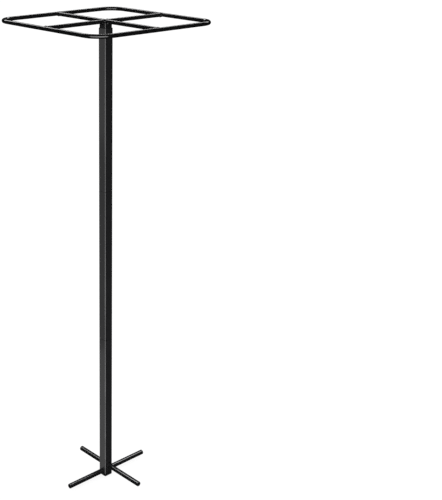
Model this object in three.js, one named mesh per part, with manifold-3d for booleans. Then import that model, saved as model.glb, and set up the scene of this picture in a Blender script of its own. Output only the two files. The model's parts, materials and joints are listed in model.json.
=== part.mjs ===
// Metal plant support tower: a square steel post in three push-together sections, a square hoop
// with a cross on top that plugs into the post, and two loose rods through the foot that anchor
// the tower in soil. Millimetres, +Z up, origin at the middle of the foot's underside.
// The front of the post faces -Y.

import * as THREE from 'three';
import { mergeVertices } from 'three/addons/utils/BufferGeometryUtils.js';
import Module from 'manifold-3d';

const wasm = await Module();
wasm.setup();

// Post: square tube, cut into three equal sections
const POST_SIDE = 25;
const POST_WALL = 1.5;
const POST_CORNER = 3;            // outside radius of the tube's edges
const SECTION_LENGTH = 400;

// Sleeves: smaller square tube that slides inside the post
const SLEEVE_WALL = 1.5;
const COUPLER_LENGTH = 100;       // half of it stands in each of the two sections that it joins
const STUB_DEPTH = 50;            // how far the top frame reaches down into the post
const REST_LENGTH = 30;           // sleeve fixed inside the post, on which the top frame stands
const NECK_HEIGHT = 10;           // stub left bare between the post and the cross bars
const NOTCH_DEPTH = 2.5;          // how far the cross bars sink into the top of the stub
const LEAD_IN = 1;                // how far a sleeve's free end tapers in, on each side
const LEAD_RUN = 4;               // length of that taper

// Foot cap: a plug with a flush head
const FOOT_HEAD = 3;
const FOOT_SPIGOT = 2;

// Top frame: round bar
const RING_SIDE = 375;            // outside of the hoop, across its flats
const RING_BEND = 42;             // bend radius of the hoop's corners, at the middle of the bar
const BAR_DIAMETER = 10;
const RING_WELD_LEG = 4;          // length of a weld bead along a bar that ends at the hoop
const CROSS_WELD_LEG = 3;         // and along a half bar that ends at the cross bar
const STUB_WELD_LEG = 3;          // and along a bar that lies on the stub, and down the stub
const WELD_RISE = 0.7;            // how far a weld bead swells at its crown

// Base rods: solid, loose in their holes
const ROD_DIAMETER = 13;
const ROD_CHAMFER = 1;
const LOWER_ROD_LENGTH = 260;
const UPPER_ROD_LENGTH = 235;
const LOWER_ROD_SHIFT = 3.5;      // its middle lies this far behind the post's axis
const UPPER_ROD_SHIFT = 15;       // its middle lies this far right of the post's axis
const ROD_LAND = 1;               // from the foot cap's spigot up to the lower rod
const ROD_SPACE = 5;              // from the lower rod up to the upper rod

// Clearances
const SLIP = 0.3;                 // round every piece that slides in another
const SEAM = 0.3;                 // between pieces that meet end to end or at a weld

// Steps of the round surfaces
const EDGE_STEPS = 3;
const BAR_SIDES = 24;
const BEND_STEPS = 12;
const HOLE_SIDES = 40;
const WELD_STEPS = 6;

// Sizes that follow
const POST_BORE = POST_SIDE - 2 * POST_WALL;
const BORE_CORNER = Math.max(POST_CORNER - POST_WALL, SLIP);
const SLEEVE_SIDE = POST_BORE - 2 * SLIP;
const SLEEVE_CORNER = Math.max(BORE_CORNER - SLIP, SLIP);
const SLEEVE_BORE = SLEEVE_SIDE - 2 * SLEEVE_WALL;
const SLEEVE_BORE_CORNER = Math.max(SLEEVE_CORNER - SLEEVE_WALL, SLIP);
const LOWER_SECTION_Z = FOOT_HEAD + SEAM;
const MIDDLE_SECTION_Z = LOWER_SECTION_Z + SECTION_LENGTH + SEAM;
const UPPER_SECTION_Z = MIDDLE_SECTION_Z + SECTION_LENGTH + SEAM;
const POST_TOP = UPPER_SECTION_Z + SECTION_LENGTH;
const BAR_RADIUS = BAR_DIAMETER / 2;
const RING_REACH = RING_SIDE / 2 - BAR_RADIUS;
const FRAME_Z = POST_TOP + NECK_HEIGHT + BAR_RADIUS;
const ROD_RADIUS = ROD_DIAMETER / 2;
const LOWER_ROD_Z = FOOT_HEAD + FOOT_SPIGOT + ROD_LAND + ROD_RADIUS;
const UPPER_ROD_Z = LOWER_ROD_Z + ROD_DIAMETER + ROD_SPACE;

const QUARTER = Math.PI / 2;

const powderCoat = new THREE.MeshStandardMaterial({ color: 0x1f1f20, roughness: 0.42, metalness: 0.1 });
const rodCoat = new THREE.MeshStandardMaterial({ color: 0x161617, roughness: 0.38, metalness: 0.1 });
const capPlastic = new THREE.MeshStandardMaterial({ color: 0x101011, roughness: 0.6, metalness: 0 });

// Joining and cutting

function toSolid(geometry) {
  const bare = geometry.clone();
  bare.deleteAttribute('normal');
  bare.deleteAttribute('uv');
  const merged = mergeVertices(bare);
  return new wasm.Manifold(new wasm.Mesh({
    numProp: 3,
    vertProperties: new Float32Array(merged.attributes.position.array),
    triVerts: new Uint32Array(merged.index.array),
  }));
}

function toGeometry(solid) {
  const mesh = solid.getMesh();
  const geometry = new THREE.BufferGeometry();
  geometry.setAttribute('position', new THREE.BufferAttribute(mesh.vertProperties, 3));
  geometry.setIndex(new THREE.BufferAttribute(mesh.triVerts, 1));
  geometry.computeVertexNormals();
  return geometry;
}

function cut(geometry, ...tools) {
  let solid = toSolid(geometry);
  for (const tool of tools) {
    solid = solid.subtract(toSolid(tool));
  }
  return toGeometry(solid);
}

function keepInside(geometry, room) {
  return toGeometry(toSolid(geometry).intersect(toSolid(room)));
}

// Square tube and plug

function traceRoundedSquare(path, side, radius) {
  const reach = side / 2 - radius;
  path.moveTo(side / 2, -reach);
  path.absarc(reach, reach, radius, 0, QUARTER);
  path.absarc(-reach, reach, radius, QUARTER, 2 * QUARTER);
  path.absarc(-reach, -reach, radius, 2 * QUARTER, 3 * QUARTER);
  path.absarc(reach, -reach, radius, 3 * QUARTER, 4 * QUARTER);
  return path;
}

function extrudeUp(shape, length) {
  return new THREE.ExtrudeGeometry(shape, { depth: length, bevelEnabled: false, curveSegments: EDGE_STEPS });
}

function postTube() {
  const shape = traceRoundedSquare(new THREE.Shape(), POST_SIDE, POST_CORNER);
  shape.holes.push(traceRoundedSquare(new THREE.Path(), POST_BORE, BORE_CORNER));
  return extrudeUp(shape, SECTION_LENGTH);
}

function sleeveTube(length) {
  const shape = traceRoundedSquare(new THREE.Shape(), SLEEVE_SIDE, SLEEVE_CORNER);
  shape.holes.push(traceRoundedSquare(new THREE.Path(), SLEEVE_BORE, SLEEVE_BORE_CORNER));
  return extrudeUp(shape, length);
}

// A square block that encloses a sleeve of this length and narrows to trim the taper at its upper end
function taperRoom(length) {
  const height = length + 2 * LEAD_RUN;
  const top = SLEEVE_SIDE / 2 - 2 * LEAD_IN;
  const bottom = top + (height / LEAD_RUN) * LEAD_IN;
  const block = new THREE.CylinderGeometry(top * Math.SQRT2, bottom * Math.SQRT2, height, 4);
  return block.rotateX(QUARTER).rotateZ(QUARTER / 2).translate(0, 0, length / 2);
}

function coupler() {
  return keepInside(sleeveTube(COUPLER_LENGTH), taperRoom(COUPLER_LENGTH));
}

function footPlug() {
  const head = extrudeUp(traceRoundedSquare(new THREE.Shape(), POST_SIDE, POST_CORNER), FOOT_HEAD);
  const spigotShape = traceRoundedSquare(new THREE.Shape(), SLEEVE_SIDE, SLEEVE_CORNER);
  const spigot = extrudeUp(spigotShape, FOOT_HEAD + FOOT_SPIGOT);
  return toGeometry(toSolid(head).add(toSolid(spigot)));
}

// Round bar: straight, chamfered or bent into a hoop

function barAlongX(radius, length, sides) {
  return new THREE.CylinderGeometry(radius, radius, length, sides).rotateZ(QUARTER);
}

function barAlongY(radius, length, sides) {
  return new THREE.CylinderGeometry(radius, radius, length, sides);
}

function chamferedRod(length) {
  const end = length / 2;
  const profile = [
    new THREE.Vector2(0, -end),
    new THREE.Vector2(ROD_RADIUS - ROD_CHAMFER, -end),
    new THREE.Vector2(ROD_RADIUS, -end + ROD_CHAMFER),
    new THREE.Vector2(ROD_RADIUS, end - ROD_CHAMFER),
    new THREE.Vector2(ROD_RADIUS - ROD_CHAMFER, end),
    new THREE.Vector2(0, end),
  ];
  return new THREE.LatheGeometry(profile, BAR_SIDES);
}

// The hoop's bar is swept through its four bends, and the straight sides run from bend to bend.
function bentHoop() {
  const positions = [];
  const indices = [];
  const bendCentre = RING_REACH - RING_BEND;
  for (let corner = 0; corner < 4; corner++) {
    const diagonal = (corner + 0.5) * QUARTER;
    const centreX = Math.sign(Math.cos(diagonal)) * bendCentre;
    const centreY = Math.sign(Math.sin(diagonal)) * bendCentre;
    for (let step = 0; step <= BEND_STEPS; step++) {
      const turn = (corner + step / BEND_STEPS) * QUARTER;
      for (let side = 0; side < BAR_SIDES; side++) {
        const around = (side / BAR_SIDES) * 4 * QUARTER;
        const reach = RING_BEND + BAR_RADIUS * Math.cos(around);
        positions.push(centreX + reach * Math.cos(turn));
        positions.push(centreY + reach * Math.sin(turn));
        positions.push(BAR_RADIUS * Math.sin(around));
      }
    }
  }
  const stations = 4 * (BEND_STEPS + 1);
  for (let station = 0; station < stations; station++) {
    const here = station * BAR_SIDES;
    const there = ((station + 1) % stations) * BAR_SIDES;
    for (let side = 0; side < BAR_SIDES; side++) {
      const next = (side + 1) % BAR_SIDES;
      indices.push(here + side, there + side, there + next);
      indices.push(here + side, there + next, here + next);
    }
  }
  const geometry = new THREE.BufferGeometry();
  geometry.setAttribute('position', new THREE.Float32BufferAttribute(positions, 3));
  geometry.setIndex(indices);
  geometry.computeVertexNormals();
  return geometry;
}

// A swollen collar round the end of a bar that comes from -Y and stops at a bar along X through the
// origin. Room is added on its outside for the hollow that another piece leaves for it.
function weldCollar(leg, room) {
  const bore = BAR_RADIUS + SEAM;
  const toe = BAR_RADIUS + leg + room;
  const lip = BAR_RADIUS / 3;
  const profile = [new THREE.Vector2(0, -BAR_RADIUS), new THREE.Vector2(bore, -BAR_RADIUS)];
  for (let step = 0; step <= WELD_STEPS; step++) {
    const share = step / WELD_STEPS;
    const swell = WELD_RISE * Math.sin(share * 2 * QUARTER);
    profile.push(new THREE.Vector2(bore + swell + room, -toe + share * (toe - lip)));
  }
  profile.push(new THREE.Vector2(0, -lip));
  return new THREE.LatheGeometry(profile, BAR_SIDES);
}

// A weld bead is that collar, cut to a saddle by the bar that it joins the first one to.
function weldBead(leg) {
  return cut(weldCollar(leg, 0), barAlongX(BAR_RADIUS + SEAM, 4 * BAR_DIAMETER, BAR_SIDES));
}

// A fillet round a bar that comes from -Y, against the side of the stub that the bar lies on. Only
// the part below the stub's top is kept.
function stubBead() {
  const bore = BAR_RADIUS + SEAM;
  const start = SLEEVE_SIDE / 2 + SEAM;
  const profile = [];
  for (let step = 0; step <= WELD_STEPS; step++) {
    const share = step / WELD_STEPS;
    const swell = WELD_RISE * Math.sin(share * 2 * QUARTER) * Math.SQRT1_2;
    const out = bore + share * STUB_WELD_LEG + swell;
    const along = start + (1 - share) * STUB_WELD_LEG + swell;
    profile.push(new THREE.Vector2(out, -along));
  }
  profile.push(new THREE.Vector2(bore, -start), profile[0]);
  const below = new THREE.BoxGeometry(RING_SIDE, RING_SIDE, RING_SIDE);
  below.translate(0, 0, NOTCH_DEPTH - BAR_RADIUS - RING_SIDE / 2);
  return keepInside(new THREE.LatheGeometry(profile, BAR_SIDES), below);
}

// Pieces of the post

function lowerSection() {
  const boreRadius = ROD_RADIUS + SLIP;
  const lowerHole = barAlongY(boreRadius, 2 * POST_SIDE, HOLE_SIDES);
  const upperHole = barAlongX(boreRadius, 2 * POST_SIDE, HOLE_SIDES);
  lowerHole.translate(0, 0, LOWER_ROD_Z - LOWER_SECTION_Z);
  upperHole.translate(0, 0, UPPER_ROD_Z - LOWER_SECTION_Z);
  return cut(postTube(), lowerHole, upperHole);
}

// The stub's top is notched so that the cross lies in it, clear of the weld beads, and its lower end
// is tapered.
function notchedStub() {
  const barBore = BAR_RADIUS + SEAM;
  const length = STUB_DEPTH + NECK_HEIGHT + NOTCH_DEPTH;
  const axisHeight = length - NOTCH_DEPTH + BAR_RADIUS;
  const notchX = barAlongX(barBore, 2 * POST_SIDE, BAR_SIDES).translate(0, 0, axisHeight);
  const notchY = barAlongY(barBore, 2 * POST_SIDE, BAR_SIDES).translate(0, 0, axisHeight);
  const frontRoom = weldCollar(CROSS_WELD_LEG, SEAM).translate(0, 0, axisHeight);
  const backRoom = weldCollar(CROSS_WELD_LEG, SEAM).rotateZ(2 * QUARTER).translate(0, 0, axisHeight);
  const room = taperRoom(length).rotateX(2 * QUARTER).translate(0, 0, length);
  return cut(keepInside(sleeveTube(length), room), notchX, notchY, frontRoom, backRoom);
}

// Assembly

const tower = new THREE.Group();

function addPiece(parent, name, geometry, material) {
  const mesh = new THREE.Mesh(geometry, material.clone());
  mesh.name = name;
  parent.add(mesh);
  return mesh;
}

function addGroup(z) {
  const group = new THREE.Group();
  group.position.z = z;
  tower.add(group);
  return group;
}

// Post sections, each with the sleeve that is fixed in it
const lower = addGroup(LOWER_SECTION_Z);
addPiece(tower, 'foot_cap', footPlug(), capPlastic);
addPiece(lower, 'lower_post_section', lowerSection(), powderCoat);
const lowerCoupler = addPiece(lower, 'lower_coupler', coupler(), powderCoat);
lowerCoupler.position.z = SECTION_LENGTH - COUPLER_LENGTH / 2;

const middle = addGroup(MIDDLE_SECTION_Z);
addPiece(middle, 'middle_post_section', postTube(), powderCoat);
const upperCoupler = addPiece(middle, 'upper_coupler', coupler(), powderCoat);
upperCoupler.position.z = SECTION_LENGTH - COUPLER_LENGTH / 2;

const upper = addGroup(UPPER_SECTION_Z);
addPiece(upper, 'upper_post_section', postTube(), powderCoat);
const stubRest = addPiece(upper, 'stub_rest', sleeveTube(REST_LENGTH), powderCoat);
stubRest.position.z = SECTION_LENGTH - STUB_DEPTH - SEAM - REST_LENGTH;

// Base rods
const lowerRod = addPiece(tower, 'lower_base_rod', chamferedRod(LOWER_ROD_LENGTH), rodCoat);
lowerRod.position.set(0, LOWER_ROD_SHIFT, LOWER_ROD_Z);
const upperRod = addPiece(tower, 'upper_base_rod', chamferedRod(UPPER_ROD_LENGTH), rodCoat);
upperRod.rotation.z = -QUARTER;
upperRod.position.set(UPPER_ROD_SHIFT, 0, UPPER_ROD_Z);

// Top frame: hoop, one bar right across, a half bar on each side of it, and the stub underneath
const frame = addGroup(FRAME_Z);
const crossReach = RING_REACH - BAR_RADIUS - SEAM;
const halfStart = BAR_RADIUS + SEAM;
const halfLength = crossReach - halfStart;
addPiece(frame, 'top_ring', bentHoop(), rodCoat);
addPiece(frame, 'cross_bar', barAlongX(BAR_RADIUS, 2 * crossReach, BAR_SIDES), rodCoat);
for (const [name, side] of [['front_half_bar', -1], ['back_half_bar', 1]]) {
  const bar = addPiece(frame, name, barAlongY(BAR_RADIUS, halfLength, BAR_SIDES), rodCoat);
  bar.position.y = side * (halfStart + halfLength / 2);
}
const stub = addPiece(frame, 'frame_stub', notchedStub(), powderCoat);
stub.position.z = -BAR_RADIUS - NECK_HEIGHT - STUB_DEPTH;

// Weld beads: where the cross meets the hoop and the stub, and where the half bars meet the long one
const ringSides = ['back', 'left', 'front', 'right'];
ringSides.forEach((side, index) => {
  const turn = index * QUARTER;
  const ringWeld = addPiece(frame, `${side}_ring_weld`, weldBead(RING_WELD_LEG), rodCoat);
  ringWeld.rotation.z = turn;
  ringWeld.position.set(-RING_REACH * Math.sin(turn), RING_REACH * Math.cos(turn), 0);
  const stubWeld = addPiece(frame, `${side}_stub_weld`, stubBead(), rodCoat);
  stubWeld.rotation.z = turn + 2 * QUARTER;
});
addPiece(frame, 'front_cross_weld', weldBead(CROSS_WELD_LEG), rodCoat);
const backCrossWeld = addPiece(frame, 'back_cross_weld', weldBead(CROSS_WELD_LEG), rodCoat);
backCrossWeld.rotation.z = 2 * QUARTER;

export default tower;
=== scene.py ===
import json
import math

import bmesh
import bpy
from mathutils import Matrix, Vector

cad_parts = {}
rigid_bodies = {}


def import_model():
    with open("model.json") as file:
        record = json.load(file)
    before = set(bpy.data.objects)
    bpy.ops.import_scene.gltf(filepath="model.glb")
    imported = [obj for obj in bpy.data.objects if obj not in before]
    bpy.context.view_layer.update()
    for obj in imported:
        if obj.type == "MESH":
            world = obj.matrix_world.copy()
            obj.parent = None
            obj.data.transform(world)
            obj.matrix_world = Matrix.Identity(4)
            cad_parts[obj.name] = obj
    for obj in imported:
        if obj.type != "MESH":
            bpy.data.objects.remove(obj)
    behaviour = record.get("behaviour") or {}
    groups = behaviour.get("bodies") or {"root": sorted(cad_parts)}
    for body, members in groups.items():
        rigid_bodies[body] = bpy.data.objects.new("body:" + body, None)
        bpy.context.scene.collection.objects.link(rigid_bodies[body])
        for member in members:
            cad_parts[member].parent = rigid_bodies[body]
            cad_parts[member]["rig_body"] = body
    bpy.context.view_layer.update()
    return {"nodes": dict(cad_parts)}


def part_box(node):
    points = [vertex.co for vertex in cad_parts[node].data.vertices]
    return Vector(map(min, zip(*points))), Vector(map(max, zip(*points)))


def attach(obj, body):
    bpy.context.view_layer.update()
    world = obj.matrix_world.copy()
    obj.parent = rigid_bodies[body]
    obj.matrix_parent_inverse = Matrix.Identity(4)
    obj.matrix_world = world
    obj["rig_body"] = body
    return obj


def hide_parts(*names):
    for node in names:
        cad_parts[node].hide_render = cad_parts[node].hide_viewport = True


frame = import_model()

bl_info = {
    "name": "Plant Support Tower",
    "version": (1, 0, 0),
    "blender": (4, 5, 0),
    "location": "3D View > Sidebar > Tower",
    "description": "Dresses the frame of a black steel plant support tower",
    "category": "Object",
}

# Image of the photograph, in pixels
IMAGE_WIDTH = 442
IMAGE_HEIGHT = 500

# Millimetres to metres
MM = 0.001

# Facets of the round surfaces
EDGE_SEGMENTS = 8
RIM_SEGMENTS = 2
BAR_SEGMENTS = 40
BEND_STEPS = 18
ROD_END_SEGMENTS = 3
HOLE_SEGMENTS = 64
FLOOR_SEGMENTS = 96

# Weld beads: facets across a bead, ripples in a full turn round a bar, and how deep a bead sits in its bar
# as a share of the bar's radius
WELD_STEPS = 10
BAR_RIPPLES = 17
STUB_RIPPLES = 24
WELD_SINK = 1 / 8

# Edges that turn by more than this are cut edges, and the paint rounds them
CUT_EDGE = math.radians(40)

POST_SECTIONS = ("lower_post_section", "middle_post_section", "upper_post_section")

# Pieces that share lights, named by body or by node
HOOP = ("top_frame",)
RODS = ("lower_rod", "upper_rod")
POST = ("base", "middle", "upper")
STUB = ("frame_stub",)

# Strip lights hang overhead and a box light stands in front, in metres. The hoop's lights face a point on
# the post at the height of the aim.
STRIP_LENGTH = 6.8
STRIP_HEIGHT = 3.4
HOOP_STRIP_WIDTH = 0.7
HOOP_STRIP_BEHIND = 2.6
ROD_STRIP_WIDTH = 0.8
ROD_STRIP_ASIDE = 1.3
BOX_WIDTH = 3
BOX_HEIGHT = 1.4
BOX_IN_FRONT = 1.6
HOOP_AIM = 1

# Panels rise on a slope from beside the post's foot, in metres along the slope. The left one has three parts.
PANEL_SLOPE = math.radians(41)
PANEL_FOOT = 0.02
PANEL_WIDTH = 1.2
PANEL_END = 2.7
LEFT_FOOT_END = 0.36
LEFT_TOP_START = 1.1

# Boards lie on the same slope. Each is longer and wider than the one below by the growth, so that the post's
# edge is as bright at the top as at the foot. The width is a share of the distance at which a board starts.
BOARD_COUNT = 8
BOARD_START = 0.004
BOARD_GROWTH = 2.2
BOARD_WIDTH = 1.4

# Sockets of a Mix node that mixes colours
MIX_SHARE = 0
MIX_FIRST = 6
MIX_SECOND = 7
MIX_RESULT = 2

ORIGIN = Vector((0, 0, 0))
X_AXIS = Vector((1, 0, 0))
Y_AXIS = Vector((0, 1, 0))
Z_AXIS = Vector((0, 0, 1))


def linear(hex_colour):
    """An sRGB hex colour as linear red, green, blue and alpha."""
    channels = []
    for start in (1, 3, 5):
        value = int(hex_colour[start:start + 2], 16) / 255
        channels.append(value / 12.92 if value <= 0.04045 else ((value + 0.055) / 1.055) ** 2.4)
    return (*channels, 1.0)


# Settings that a user would change

class TowerShape(bpy.types.PropertyGroup):
    """Sizes of the tower that the frame's boxes don't tell."""

    post_edge: bpy.props.FloatProperty(
        name="Post Edge", description="Outside radius of the post's four edges",
        default=3 * MM, unit="LENGTH")
    post_wall: bpy.props.FloatProperty(
        name="Post Wall", description="Wall of the post's tube", default=1.5 * MM, unit="LENGTH")
    sleeve_edge: bpy.props.FloatProperty(
        name="Sleeve Edge", description="Outside radius of the inner tube's edges",
        default=1.2 * MM, unit="LENGTH")
    sleeve_wall: bpy.props.FloatProperty(
        name="Sleeve Wall", description="Wall of the inner tube", default=1.5 * MM, unit="LENGTH")
    post_rim: bpy.props.FloatProperty(
        name="Post Rim", description="Rounding of the post's cut ends and holes under the paint",
        default=0.6 * MM, unit="LENGTH")
    sleeve_rim: bpy.props.FloatProperty(
        name="Sleeve Rim", description="Rounding of the inner tubes' cut ends under the paint",
        default=0.2 * MM, unit="LENGTH")
    lead_in: bpy.props.FloatProperty(
        name="Lead-in", description="How far an inner tube's tip is drawn in on each side",
        default=1 * MM, unit="LENGTH")
    lead_run: bpy.props.FloatProperty(
        name="Lead-in Run", description="Length of the taper at an inner tube's tip",
        default=4 * MM, unit="LENGTH")
    slip: bpy.props.FloatProperty(
        name="Slip", description="Clearance round a piece that slides in another",
        default=0.3 * MM, unit="LENGTH")
    rod_chamfer: bpy.props.FloatProperty(
        name="Rod Chamfer", description="Chamfer of the base rods' ends", default=1 * MM, unit="LENGTH")
    ring_bend: bpy.props.FloatProperty(
        name="Ring Bend", description="Bend radius of the hoop at the middle of its bar",
        default=42 * MM, unit="LENGTH")
    cap_head: bpy.props.FloatProperty(
        name="Cap Head", description="Height of the foot cap's head", default=3 * MM, unit="LENGTH")
    ring_weld_leg: bpy.props.FloatProperty(
        name="Ring Weld Leg", description="Length of a bead along a bar that ends at the hoop",
        default=4 * MM, unit="LENGTH")
    cross_weld_leg: bpy.props.FloatProperty(
        name="Cross Weld Leg", description="Length of a bead along a half bar at the cross bar",
        default=3 * MM, unit="LENGTH")
    stub_weld_leg: bpy.props.FloatProperty(
        name="Stub Weld Leg", description="Leg of a bead between a bar and the stub's face",
        default=3 * MM, unit="LENGTH")
    weld_swell: bpy.props.FloatProperty(
        name="Weld Swell", description="Height of a weld bead above its bar", default=1 * MM, unit="LENGTH")
    weld_ripple: bpy.props.FloatProperty(
        name="Weld Ripple", description="Height of the ripples on a weld bead",
        default=0.12 * MM, unit="LENGTH")


class TowerFinish(bpy.types.PropertyGroup):
    """Colours of the finishes."""

    coat_colour: bpy.props.FloatVectorProperty(
        name="Coat Colour", description="Powder coat", subtype="COLOR", size=4,
        default=linear("#0b0b0c"))
    coat_bloom: bpy.props.FloatVectorProperty(
        name="Coat Bloom", description="Paler clouds in the powder coat", subtype="COLOR", size=4,
        default=linear("#111112"))
    cap_colour: bpy.props.FloatVectorProperty(
        name="Cap Colour", description="Moulded plastic of the foot cap", subtype="COLOR", size=4,
        default=linear("#131314"))
    cap_bloom: bpy.props.FloatVectorProperty(
        name="Cap Bloom", description="Paler clouds in the plastic", subtype="COLOR", size=4,
        default=linear("#1b1b1c"))


class TowerStage(bpy.types.PropertyGroup):
    """Floor, lights and camera."""

    floor_colour: bpy.props.FloatVectorProperty(
        name="Floor Colour", description="Opal sheet of the floor", subtype="COLOR", size=4,
        default=linear("#808080"))
    floor_glow: bpy.props.FloatProperty(
        name="Floor Glow", description="Light that comes up through the floor", default=0.85)
    floor_radius: bpy.props.FloatProperty(
        name="Floor Radius", description="Half the floor's width", default=14, unit="LENGTH")
    sky_colour: bpy.props.FloatVectorProperty(
        name="Sky Colour", description="Even light all round", subtype="COLOR", size=4,
        default=linear("#ffffff"))
    sky_strength: bpy.props.FloatProperty(
        name="Sky Strength", description="Strength of the even light", default=1.05)
    hoop_glow: bpy.props.FloatProperty(
        name="Hoop Strip", description="Watts per square metre of the strip over the hoop", default=22)
    rod_glow: bpy.props.FloatProperty(
        name="Rod Strips", description="Watts per square metre of the strips over the rods", default=36)
    box_glow: bpy.props.FloatProperty(
        name="Hoop Box", description="Watts per square metre of the box in front of the hoop", default=16)
    left_foot_glow: bpy.props.FloatProperty(
        name="Left Panel Foot", description="Watts per square metre at the foot of the left panel",
        default=2.12)
    left_glow: bpy.props.FloatProperty(
        name="Left Panel", description="Watts per square metre in the middle of the left panel",
        default=1.21)
    left_top_glow: bpy.props.FloatProperty(
        name="Left Panel Top", description="Watts per square metre at the top of the left panel",
        default=1.9)
    right_glow: bpy.props.FloatProperty(
        name="Right Panel", description="Watts per square metre of the panel on the right",
        default=0.15)
    stub_glow: bpy.props.FloatProperty(
        name="Stub Panel", description="Watts per square metre of the stub's panel on the left",
        default=0.35)
    board_glow: bpy.props.FloatProperty(
        name="Boards", description="Watts per square metre of the boards before the post's edge", default=13)
    azimuth: bpy.props.FloatProperty(
        name="Azimuth", description="Camera's turn to the right from the front of the post",
        default=math.radians(49.2), subtype="ANGLE")
    tilt: bpy.props.FloatProperty(
        name="Tilt", description="How far the camera looks down", default=math.radians(18.45),
        subtype="ANGLE")
    distance: bpy.props.FloatProperty(
        name="Distance", description="Level distance from the post's axis to the camera", default=2.4,
        unit="LENGTH")
    height: bpy.props.FloatProperty(
        name="Height", description="Camera above the floor", default=1.541, unit="LENGTH")
    lens: bpy.props.FloatProperty(
        name="Lens", description="Focal length in millimetres", default=73.1, unit="CAMERA")
    post_column: bpy.props.FloatProperty(
        name="Post Column", description="Pixel column of the post's axis in the image", default=105.7,
        subtype="PIXEL")
    shift_up: bpy.props.FloatProperty(
        name="Shift", description="Lens shift as a share of the image's height", default=-0.07)


# Materials

def add_node(tree, kind, values=None, links=None, **settings):
    """Adds a node with its settings, the values of its inputs and the sockets linked to them."""
    node = tree.nodes.new(kind)
    for name, setting in settings.items():
        setattr(node, name, setting)
    for name, value in (values or {}).items():
        node.inputs[name].default_value = value
    for name, socket in (links or {}).items():
        tree.links.new(socket, node.inputs[name])
    return node


def grained_finish(name, colours, cloud_width, grain_width, grain_depth, gloss, ior):
    """A dark finish with faint clouds of colour and gloss and a fine grain. Widths are real sizes in
    metres, colours the darkest and palest, and gloss the least and greatest roughness."""
    material = bpy.data.materials.new(name)
    material.use_nodes = True
    tree = material.node_tree
    tree.nodes.clear()
    place = add_node(tree, "ShaderNodeTexCoord")
    clouds = add_node(
        tree, "ShaderNodeTexNoise", {"Scale": 1 / cloud_width, "Detail": 3, "Roughness": 0.5},
        {"Vector": place.outputs["Object"]})
    colour = add_node(
        tree, "ShaderNodeMix", {MIX_FIRST: colours[0], MIX_SECOND: colours[1]},
        {MIX_SHARE: clouds.outputs["Fac"]}, data_type="RGBA")
    roughness = add_node(
        tree, "ShaderNodeMapRange", {"To Min": gloss[0], "To Max": gloss[1]},
        {"Value": clouds.outputs["Fac"]})
    grain = add_node(
        tree, "ShaderNodeTexNoise", {"Scale": 1 / grain_width, "Detail": 2, "Roughness": 0.4},
        {"Vector": place.outputs["Object"]})
    bump = add_node(
        tree, "ShaderNodeBump", {"Strength": 0.6, "Distance": grain_depth},
        {"Height": grain.outputs["Fac"]})
    shader = add_node(
        tree, "ShaderNodeBsdfPrincipled", {"IOR": ior},
        {"Base Color": colour.outputs[MIX_RESULT], "Roughness": roughness.outputs["Result"],
         "Normal": bump.outputs["Normal"]})
    add_node(tree, "ShaderNodeOutputMaterial", links={"Surface": shader.outputs["BSDF"]})
    return material


def powder_coat():
    """Baked polyester powder coat on steel: semi-gloss black, whose orange peel makes reflections waver.
    The peel is really 1 to 2 mm wide. It is drawn coarser, or it would not show."""
    if "powder_coat" in bpy.data.materials:
        return bpy.data.materials["powder_coat"]
    finish = bpy.context.scene.tower_finish
    return grained_finish(
        "powder_coat", (finish.coat_colour, finish.coat_bloom), cloud_width=45 * MM,
        grain_width=4 * MM, grain_depth=0.1 * MM, gloss=(0.14, 0.2), ior=1.5)


def moulded_plastic():
    """Polyethylene moulded against a spark-eroded tool: matte black with a fine sandy grain."""
    finish = bpy.context.scene.tower_finish
    return grained_finish(
        "moulded_plastic", (finish.cap_colour, finish.cap_bloom), cloud_width=12 * MM,
        grain_width=0.4 * MM, grain_depth=0.02 * MM, gloss=(0.55, 0.65), ior=1.5)


# Meshes

def add_round_square(shape, side, radius, z):
    """Adds a flat square with round corners to a mesh and returns its face."""
    corners = bmesh.ops.create_grid(
        shape, x_segments=1, y_segments=1, size=side / 2, matrix=Matrix.Translation((0, 0, z)))["verts"]
    rounded = bmesh.ops.bevel(
        shape, geom=corners, offset=radius, offset_type="OFFSET", segments=EDGE_SEGMENTS, profile=0.5,
        affect="VERTICES", material=-1)["verts"]
    return rounded[0].link_faces[0]


def raise_faces(shape, faces, height):
    """Extrudes faces straight up and returns the raised ones."""
    made = bmesh.ops.extrude_face_region(shape, geom=faces)["geom"]
    corners = [part for part in made if isinstance(part, bmesh.types.BMVert)]
    bmesh.ops.translate(shape, verts=corners, vec=height * Z_AXIS)
    return [part for part in made if isinstance(part, bmesh.types.BMFace)]


def square_tube(low, high, edge, wall, least):
    """A square tube with round edges that fills the box from low to high. The edges of its bore have the
    same centres as those outside, but at least a given radius."""
    side = high.x - low.x
    shape = bmesh.new()
    outside = add_round_square(shape, side, edge, low.z)
    bore = add_round_square(shape, side - 2 * wall, max(edge - wall, least), low.z)
    loops = [*outside.edges, *bore.edges]
    bmesh.ops.delete(shape, geom=[outside, bore], context="FACES_ONLY")
    end = bmesh.ops.bridge_loops(shape, edges=loops)["faces"]
    raise_faces(shape, end, high.z - low.z)
    bmesh.ops.recalc_face_normals(shape, faces=shape.faces[:])
    return shape


def taper_tip(shape, tip, run, lead):
    """Draws in the outside of a tube towards its tip. The run goes from the tip into the tube."""
    half = max(vert.co.x for vert in shape.verts)
    whole = shape.verts[:] + shape.edges[:] + shape.faces[:]
    bmesh.ops.bisect_plane(shape, geom=whole, plane_co=(tip + run) * Z_AXIS, plane_no=Z_AXIS)
    outer = [vert for vert in shape.verts if abs(vert.co.z - tip) < abs(run) / 2
             and max(abs(vert.co.x), abs(vert.co.y)) > half - lead]
    share = 1 - lead / half
    bmesh.ops.scale(shape, vec=(share, share, 1), verts=outer)


def along(axis, centre):
    """A matrix that turns +Z to the axis and moves the origin to the centre."""
    return Matrix.Translation(centre) @ Z_AXIS.rotation_difference(axis).to_matrix().to_4x4()


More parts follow.
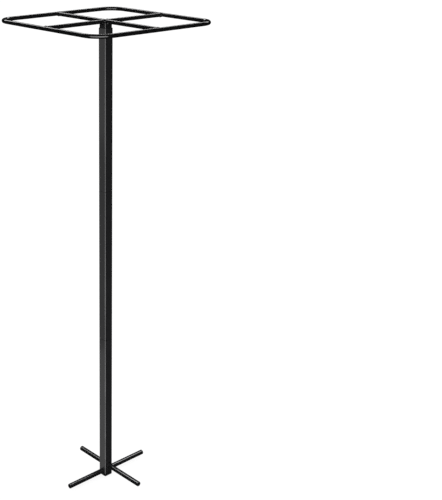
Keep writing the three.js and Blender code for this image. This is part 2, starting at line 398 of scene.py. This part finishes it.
def round_bar(axis, centre, radius, length, segments):
    """A straight round bar."""
    shape = bmesh.new()
    bmesh.ops.create_cone(
        shape, cap_ends=True, segments=segments, radius1=radius, radius2=radius, depth=length,
        matrix=along(axis, centre))
    return shape


def round_edges(shape, width, segments):
    """Rounds the cut edges of a mesh."""
    edges = [edge for edge in shape.edges if edge.calc_face_angle(0) > CUT_EDGE]
    bmesh.ops.bevel(
        shape, geom=edges, offset=width, offset_type="OFFSET", segments=segments, profile=0.5,
        affect="EDGES", clamp_overlap=True, material=-1)


def bent_hoop(low, high, bend):
    """A round bar bent into a rounded square: each side is drawn out straight and each corner spun."""
    radius = (high.z - low.z) / 2
    reach = (high.x - low.x) / 2 - radius
    straight = 2 * (reach - bend)
    middle = (low.z + high.z) / 2
    shape = bmesh.new()
    start = Vector((reach, bend - reach, middle))
    bmesh.ops.create_circle(shape, segments=BAR_SEGMENTS, radius=radius, matrix=along(Y_AXIS, start))
    section = shape.verts[:] + shape.edges[:]
    for corner in range(4):
        turn = Matrix.Rotation(corner * math.pi / 2, 3, "Z")
        edges = [part for part in section if isinstance(part, bmesh.types.BMEdge)]
        section = bmesh.ops.extrude_edge_only(shape, edges=edges)["geom"]
        section = [part for part in section if not isinstance(part, bmesh.types.BMFace)]
        verts = [part for part in section if isinstance(part, bmesh.types.BMVert)]
        bmesh.ops.translate(shape, verts=verts, vec=turn @ (straight * Y_AXIS))
        ends = [part for part in section if isinstance(part, bmesh.types.BMEdge)
                and all(vert in verts for vert in part.verts)]
        pivot = turn @ Vector((reach - bend, reach - bend, 0)) + middle * Z_AXIS
        section = bmesh.ops.spin(
            shape, geom=verts + ends, cent=pivot, axis=Z_AXIS, angle=math.pi / 2, steps=BEND_STEPS,
            use_merge=False, use_duplicate=False)["geom_last"]
    bmesh.ops.remove_doubles(shape, verts=shape.verts[:], dist=0.01 * MM)
    bmesh.ops.recalc_face_normals(shape, faces=shape.faces[:])
    return shape


def weld_bead(radius, leg, swell, ripple):
    """A bead round the end of a bar that comes from -Y and stops at a bar along X through the origin. Its
    ripples slant along the bar, by a radian of their wave in each length of the slant."""
    fullness = 0.8
    slant = 0.8 * MM
    toe = radius + leg
    lip = radius / 3
    root = radius - WELD_SINK * radius
    shape = bmesh.new()
    outline = []
    for step in range(WELD_STEPS + 1):
        share = step / WELD_STEPS
        crown = radius + swell * math.sin(math.pi * share) ** fullness
        outline.append(shape.verts.new((0, -toe + share * (toe - lip), crown)))
    outline.append(shape.verts.new((0, -lip, root)))
    outline.append(shape.verts.new((0, -toe, root)))
    edges = [shape.edges.new((outline[i - 1], outline[i])) for i in range(len(outline))]
    bmesh.ops.spin(
        shape, geom=outline + edges, cent=ORIGIN, axis=Y_AXIS, angle=2 * math.pi, steps=3 * BAR_RIPPLES,
        use_merge=True)
    for vert in shape.verts:
        out = Vector((vert.co.x, 0, vert.co.z))
        swollen = max(0, out.length - radius) / swell
        around = math.atan2(vert.co.x, vert.co.z)
        wave = math.sin(BAR_RIPPLES * around + vert.co.y / slant)
        vert.co += out.normalized() * ripple * swollen * wave
    bmesh.ops.remove_doubles(shape, verts=shape.verts[:], dist=0.001 * MM)
    bmesh.ops.recalc_face_normals(shape, faces=shape.faces[:])
    return shape


def stub_bead(radius, face, leg, swell, ripple):
    """A fillet bead under a bar along Y through the origin, where the bar leaves a stub's face at -Y.
    It thins out at both ends, just below the stub's top."""
    reach = math.radians(66)
    thinning = 0.6
    suddenness = 6
    sink = WELD_SINK * radius
    root = Vector((0, sink - face, sink - radius))
    shape = bmesh.new()
    outline = [shape.verts.new(root)]
    for step in range(WELD_STEPS + 1):
        share = step / WELD_STEPS
        crown = swell * math.sin(math.pi * share) / math.sqrt(2)
        outline.append(shape.verts.new((0, -face - share * leg - crown, -radius - (1 - share) * leg - crown)))
    profile = shape.faces.new(outline)
    bmesh.ops.rotate(shape, verts=shape.verts[:], cent=ORIGIN, matrix=Matrix.Rotation(-reach, 3, "Y"))
    bmesh.ops.spin(
        shape, geom=[*profile.verts, *profile.edges, profile], cent=ORIGIN, axis=Y_AXIS, angle=2 * reach,
        steps=2 * STUB_RIPPLES)
    for vert in shape.verts:
        around = math.atan2(-vert.co.x, -vert.co.z)
        out = Vector((vert.co.x, 0, vert.co.z))
        depth = (out.length - radius + sink) * (1 - thinning * (around / reach) ** suddenness)
        wave = ripple * math.sin(STUB_RIPPLES * around) if out.length > radius else 0
        vert.co.x, vert.co.z = (out.normalized() * (radius - sink + depth + wave)).xz
    bmesh.ops.recalc_face_normals(shape, faces=shape.faces[:])
    return shape


def new_object(name, shape):
    """An object with smooth faces from a mesh under construction, which is used up."""
    mesh = bpy.data.meshes.new(name)
    shape.to_mesh(mesh)
    shape.free()
    mesh.shade_smooth()
    thing = bpy.data.objects.new(name, mesh)
    bpy.context.scene.collection.objects.link(thing)
    return thing


def coated(node):
    """Name of the piece that stands for a node of the frame."""
    return f"{node}_coated"


def dress(node, shape, material, cutters=(), rim=0.0):
    """Puts a finished piece in place of a node of the frame. Cutters are taken out of it, and its cut edges
    are rounded by the rim."""
    piece = new_object(coated(node), shape)
    piece.data.materials.append(material)
    if cutters:
        cut_out(piece, cutters)
    if rim:
        rounding = piece.modifiers.new("rim", "BEVEL")
        rounding.width = rim
        rounding.segments = RIM_SEGMENTS
        rounding.limit_method = "ANGLE"
        rounding.angle_limit = CUT_EDGE
    else:
        piece.data.set_sharp_from_angle(angle=CUT_EDGE)
    evening = piece.modifiers.new("even_shading", "WEIGHTED_NORMAL")
    evening.keep_sharp = True
    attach(piece, frame["nodes"][node]["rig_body"])
    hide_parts(node)


def cut_out(piece, cutters):
    """Takes each cutter's mesh out of a piece."""
    tools = [new_object("cutter", shape) for shape in cutters]
    for tool in tools:
        boolean = piece.modifiers.new("cut", "BOOLEAN")
        boolean.operation = "DIFFERENCE"
        boolean.solver = "EXACT"
        boolean.object = tool
    graph = bpy.context.evaluated_depsgraph_get()
    whole = piece.data
    piece.data = bpy.data.meshes.new_from_object(piece.evaluated_get(graph))
    piece.modifiers.clear()
    bpy.data.meshes.remove(whole)
    for tool in tools:
        bpy.data.objects.remove(tool)


def middle_and_size(node):
    """Centre and size of a node of the frame."""
    low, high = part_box(node)
    return (low + high) / 2, high - low


# Operators

class TOWER_OT_post(bpy.types.Operator):
    """Adds the three sections of the post, the lowest with the holes for the base rods"""

    bl_idname = "tower.post"
    bl_label = "Post Sections"

    def execute(self, context):
        sizes = context.scene.tower_shape
        for node in POST_SECTIONS:
            tube = square_tube(*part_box(node), sizes.post_edge, sizes.post_wall, sizes.slip)
            holes = self.rod_holes(sizes) if node == "lower_post_section" else ()
            dress(node, tube, powder_coat(), cutters=holes, rim=sizes.post_rim)
        return {"FINISHED"}

    def rod_holes(self, sizes):
        """Cutters for the two rods."""
        holes = []
        for node, axis in (("lower_base_rod", Y_AXIS), ("upper_base_rod", X_AXIS)):
            centre, size = middle_and_size(node)
            on_post = Vector((0, 0, centre.z))
            radius = size.z / 2 + sizes.slip
            holes.append(round_bar(axis, on_post, radius, max(size), HOLE_SEGMENTS))
        return holes


class TOWER_OT_sleeves(bpy.types.Operator):
    """Adds the inner tubes: both couplers, the rest and the notched stub of the top frame"""

    bl_idname = "tower.sleeves"
    bl_label = "Sleeves"

    def execute(self, context):
        sizes = context.scene.tower_shape
        for node in ("lower_coupler", "upper_coupler", "stub_rest", "frame_stub"):
            low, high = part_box(node)
            tube = square_tube(low, high, sizes.sleeve_edge, sizes.sleeve_wall, sizes.slip)
            notches = ()
            if node == "frame_stub":
                taper_tip(tube, low.z, sizes.lead_run, sizes.lead_in)
                notches = self.bar_notches(sizes)
            elif node != "stub_rest":
                taper_tip(tube, high.z, -sizes.lead_run, sizes.lead_in)
            dress(node, tube, powder_coat(), cutters=notches, rim=sizes.sleeve_rim)
        return {"FINISHED"}

    def bar_notches(self, sizes):
        """Cutters for the cross bars."""
        centre, size = middle_and_size("cross_bar")
        radius = size.z / 2 + sizes.slip
        return [round_bar(axis, centre, radius, size.x / 2, HOLE_SEGMENTS) for axis in (X_AXIS, Y_AXIS)]


class TOWER_OT_foot_cap(bpy.types.Operator):
    """Adds the plug that closes the foot of the post"""

    bl_idname = "tower.foot_cap"
    bl_label = "Foot Cap"

    def execute(self, context):
        sizes = context.scene.tower_shape
        low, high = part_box("foot_cap")
        coupler = middle_and_size("lower_coupler")[1]
        plug = bmesh.new()
        foot = add_round_square(plug, high.x - low.x, sizes.post_edge, low.z)
        head = raise_faces(plug, [foot], sizes.cap_head)
        step = (high.x - low.x - coupler.x) / 2
        bmesh.ops.inset_region(plug, faces=head, thickness=step, use_even_offset=True)
        raise_faces(plug, head, high.z - low.z - sizes.cap_head)
        bmesh.ops.delete(plug, geom=head, context="FACES_ONLY")
        bmesh.ops.recalc_face_normals(plug, faces=plug.faces[:])
        dress("foot_cap", plug, moulded_plastic(), rim=sizes.post_rim)
        return {"FINISHED"}


class TOWER_OT_base_rods(bpy.types.Operator):
    """Adds the two loose rods that cross in the foot"""

    bl_idname = "tower.base_rods"
    bl_label = "Base Rods"

    def execute(self, context):
        sizes = context.scene.tower_shape
        for node, axis in (("lower_base_rod", Y_AXIS), ("upper_base_rod", X_AXIS)):
            centre, size = middle_and_size(node)
            rod = round_bar(axis, centre, size.z / 2, max(size), BAR_SEGMENTS)
            round_edges(rod, sizes.rod_chamfer, ROD_END_SEGMENTS)
            dress(node, rod, powder_coat())
        return {"FINISHED"}


class TOWER_OT_hoop(bpy.types.Operator):
    """Adds the bent hoop at the top"""

    bl_idname = "tower.hoop"
    bl_label = "Hoop"

    def execute(self, context):
        sizes = context.scene.tower_shape
        hoop = bent_hoop(*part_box("top_ring"), sizes.ring_bend)
        dress("top_ring", hoop, powder_coat())
        return {"FINISHED"}


class TOWER_OT_cross(bpy.types.Operator):
    """Adds the cross in the hoop: one bar right across and a half bar on each side"""

    bl_idname = "tower.cross"
    bl_label = "Cross"

    def execute(self, context):
        for node, axis in (("cross_bar", X_AXIS), ("front_half_bar", Y_AXIS), ("back_half_bar", Y_AXIS)):
            centre, size = middle_and_size(node)
            bar = round_bar(axis, centre, size.z / 2, max(size), BAR_SEGMENTS)
            dress(node, bar, powder_coat())
        return {"FINISHED"}


class TOWER_OT_welds(bpy.types.Operator):
    """Adds the weld beads between the hoop and the cross, at the crossing and on the stub"""

    bl_idname = "tower.welds"
    bl_label = "Welds"

    def execute(self, context):
        sizes = context.scene.tower_shape
        ring_size = middle_and_size("top_ring")[1]
        radius = ring_size.z / 2
        reach = ring_size.x / 2 - radius
        stub_face = middle_and_size("frame_stub")[1].x / 2
        swell = sizes.weld_swell
        ripple = sizes.weld_ripple
        for turns, side in enumerate(("back", "left", "front", "right")):
            bead = weld_bead(radius, sizes.ring_weld_leg, swell, ripple)
            self.place(f"{side}_ring_weld", bead, turns, reach)
            bead = stub_bead(radius, stub_face, sizes.stub_weld_leg, swell, ripple)
            self.place(f"{side}_stub_weld", bead, turns + 2, 0)
        for turns, side in ((0, "front"), (2, "back")):
            bead = weld_bead(radius, sizes.cross_weld_leg, swell, ripple)
            self.place(f"{side}_cross_weld", bead, turns, 0)
        return {"FINISHED"}

    def place(self, node, bead, turns, distance):
        """Moves a bead away from the crossing, turns it round the post's axis and paints it."""
        crossing = Matrix.Translation(middle_and_size("cross_bar")[0])
        turn = Matrix.Rotation(turns * math.pi / 2, 4, "Z")
        move = Matrix.Translation(distance * Y_AXIS)
        bmesh.ops.transform(bead, matrix=crossing @ turn @ move, verts=bead.verts[:])
        dress(node, bead, powder_coat())


class TOWER_OT_stage(bpy.types.Operator):
    """Adds the floor, the lights and the camera"""

    bl_idname = "tower.stage"
    bl_label = "Stage"

    def execute(self, context):
        stage = context.scene.tower_stage
        turn = Matrix.Rotation(stage.azimuth, 3, "Z")
        self.right = turn @ X_AXIS
        self.near = turn @ -Y_AXIS
        self.add_floor(stage)
        self.add_sky(context, stage)
        self.add_lights(stage)
        self.add_camera(context, stage)
        context.scene.view_settings.view_transform = "Standard"
        return {"FINISHED"}

    def add_floor(self, stage):
        """Adds a light table, whose glow hides nearly all of the tower's shadow. It stays out of
        reflections, as in a room with dark walls."""
        disc = bmesh.new()
        bmesh.ops.create_circle(disc, cap_ends=True, segments=FLOOR_SEGMENTS, radius=stage.floor_radius)
        floor = new_object("floor", disc)
        material = bpy.data.materials.new("pale_floor")
        material.use_nodes = True
        shader = material.node_tree.nodes["Principled BSDF"]
        shader.inputs["Base Color"].default_value = stage.floor_colour
        shader.inputs["Roughness"].default_value = 0.9
        shader.inputs["Specular IOR Level"].default_value = 0.1
        shader.inputs["Emission Strength"].default_value = stage.floor_glow
        floor.data.materials.append(material)
        floor.visible_glossy = False

    def add_sky(self, context, stage):
        """Adds an even light and a white background, which stays out of reflections too."""
        sky = bpy.data.worlds.new("even_light")
        context.scene.world = sky
        sky.use_nodes = True
        background = sky.node_tree.nodes["Background"]
        background.inputs["Color"].default_value = stage.sky_colour
        background.inputs["Strength"].default_value = stage.sky_strength
        sky.cycles_visibility.glossy = False

    def add_lights(self, stage):
        """Lights the hoop, the rods, the post and the stub each by itself, as with black flags round the
        others. The rods are lit from behind too, for views from there."""
        self.add_hoop_lights(stage)
        self.add_face_panels(stage)
        self.add_rod_strip("front", self.near, stage.rod_glow)
        self.add_rod_strip("back", -self.near, stage.rod_glow)
        self.add_boards(stage)

    def add_hoop_lights(self, stage):
        """Adds a strip that draws a streak along each bar of the hoop and a box that shows in its nearest
        bend. The hoop only mirrors them, so that it stays black between its streaks."""
        aim = HOOP_AIM * Z_AXIS
        behind = STRIP_HEIGHT * Z_AXIS - HOOP_STRIP_BEHIND * self.near
        in_front = aim + BOX_IN_FRONT * self.near
        strip = self.add_softbox(
            "hoop_strip", behind, aim - behind, STRIP_LENGTH, HOOP_STRIP_WIDTH, stage.hoop_glow, HOOP)
        box = self.add_softbox("hoop_box", in_front, -self.near, BOX_WIDTH, BOX_HEIGHT, stage.box_glow, HOOP)
        for light in (strip, box):
            light.visible_diffuse = False

    def add_face_panels(self, stage):
        """Adds the panels that show in the faces of the post and the stub: on the left, brightest at the foot
        and at the top and fainter for the stub, and a faint one on the right."""
        left = -self.right
        self.add_panel("left_foot_panel", left, 0, LEFT_FOOT_END, PANEL_WIDTH, stage.left_foot_glow, POST)
        self.add_panel("left_panel", left, LEFT_FOOT_END, LEFT_TOP_START, PANEL_WIDTH, stage.left_glow, POST)
        self.add_panel(
            "left_top_panel", left, LEFT_TOP_START, PANEL_END, PANEL_WIDTH, stage.left_top_glow, POST)
        self.add_panel("right_panel", self.right, 0, PANEL_END, PANEL_WIDTH, stage.right_glow, POST + STUB)
        self.add_panel("stub_panel", left, 0, PANEL_END, PANEL_WIDTH, stage.stub_glow, STUB)

    def add_rod_strip(self, name, side, glow):
        """Adds a strip that draws a streak along each rod."""
        overhead = STRIP_HEIGHT * Z_AXIS + ROD_STRIP_ASIDE * side
        self.add_softbox(f"{name}_rod_strip", overhead, -overhead, STRIP_LENGTH, ROD_STRIP_WIDTH, glow, RODS)

    def add_boards(self, stage):
        """Adds the boards that draw a line along the post's edge between its front and its right face."""
        side = (X_AXIS - Y_AXIS).normalized()
        for step in range(BOARD_COUNT):
            start = BOARD_START * BOARD_GROWTH ** step
            end = BOARD_GROWTH * start
            self.add_panel(f"board_{step}", side, start, end, BOARD_WIDTH * start, stage.board_glow, POST)

    def add_panel(self, name, side, start, end, width, glow, lit):
        """Adds a panel that rises from the post's foot to one side, from a start to an end on the slope."""
        uphill = math.cos(PANEL_SLOPE) * side + math.sin(PANEL_SLOPE) * Z_AXIS
        facing = math.cos(PANEL_SLOPE) * Z_AXIS - math.sin(PANEL_SLOPE) * side
        centre = PANEL_FOOT * side + (start + end) / 2 * uphill
        self.add_softbox(name, centre, facing, width, end - start, glow, lit)

    def add_softbox(self, name, centre, facing, width, height, glow, lit):
        """Adds a flat light that only the lit pieces receive. These are named by body or by node."""
        lamp = bpy.data.lights.new(name, "AREA")
        lamp.energy = glow * width * height
        lamp.shape = "RECTANGLE"
        lamp.size = width
        lamp.size_y = height
        light = bpy.data.objects.new(name, lamp)
        light.matrix_world = Matrix.Translation(centre) @ facing.to_track_quat("-Z", "Y").to_matrix().to_4x4()
        bpy.context.scene.collection.objects.link(light)
        receivers = bpy.data.collections.new(f"lit_by_{name}")
        for node, properties in frame["nodes"].items():
            if node in lit or properties["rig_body"] in lit:
                receivers.objects.link(bpy.data.objects[coated(node)])
        light.light_linking.receiver_collection = receivers
        return light

    def add_camera(self, context, stage):
        """Adds the camera, shifted so that the post's axis stands in its column of the image."""
        data = bpy.data.cameras.new("camera")
        data.lens = stage.lens
        data.shift_x = (IMAGE_WIDTH / 2 - stage.post_column) / IMAGE_HEIGHT
        data.shift_y = stage.shift_up
        camera = bpy.data.objects.new("camera", data)
        camera.location = stage.distance * self.near + stage.height * Z_AXIS
        camera.rotation_euler = (math.pi / 2 - stage.tilt, 0, stage.azimuth)
        context.scene.collection.objects.link(camera)
        context.scene.camera = camera


class TOWER_PT_panel(bpy.types.Panel):
    """Lists the tower's pieces and settings"""

    bl_idname = "TOWER_PT_panel"
    bl_label = "Plant Support Tower"
    bl_space_type = "VIEW_3D"
    bl_region_type = "UI"
    bl_category = "Tower"

    def draw(self, context):
        for operator in OPERATORS:
            self.layout.operator(operator.bl_idname)
        for settings in (context.scene.tower_shape, context.scene.tower_finish, context.scene.tower_stage):
            box = self.layout.box()
            for name in settings.__annotations__:
                box.prop(settings, name)


OPERATORS = (TOWER_OT_post, TOWER_OT_sleeves, TOWER_OT_foot_cap, TOWER_OT_base_rods, TOWER_OT_hoop,
             TOWER_OT_cross, TOWER_OT_welds, TOWER_OT_stage)
SETTINGS = (TowerShape, TowerFinish, TowerStage)


def register():
    for item in (*SETTINGS, *OPERATORS, TOWER_PT_panel):
        bpy.utils.register_class(item)
    bpy.types.Scene.tower_shape = bpy.props.PointerProperty(type=TowerShape)
    bpy.types.Scene.tower_finish = bpy.props.PointerProperty(type=TowerFinish)
    bpy.types.Scene.tower_stage = bpy.props.PointerProperty(type=TowerStage)


def unregister():
    del bpy.types.Scene.tower_stage
    del bpy.types.Scene.tower_finish
    del bpy.types.Scene.tower_shape
    for item in reversed((*SETTINGS, *OPERATORS, TOWER_PT_panel)):
        bpy.utils.unregister_class(item)


def main():
    register()
    bpy.ops.tower.post()
    bpy.ops.tower.sleeves()
    bpy.ops.tower.foot_cap()
    bpy.ops.tower.base_rods()
    bpy.ops.tower.hoop()
    bpy.ops.tower.cross()
    bpy.ops.tower.welds()
    bpy.ops.tower.stage()


if __name__ == "__main__":
    main()
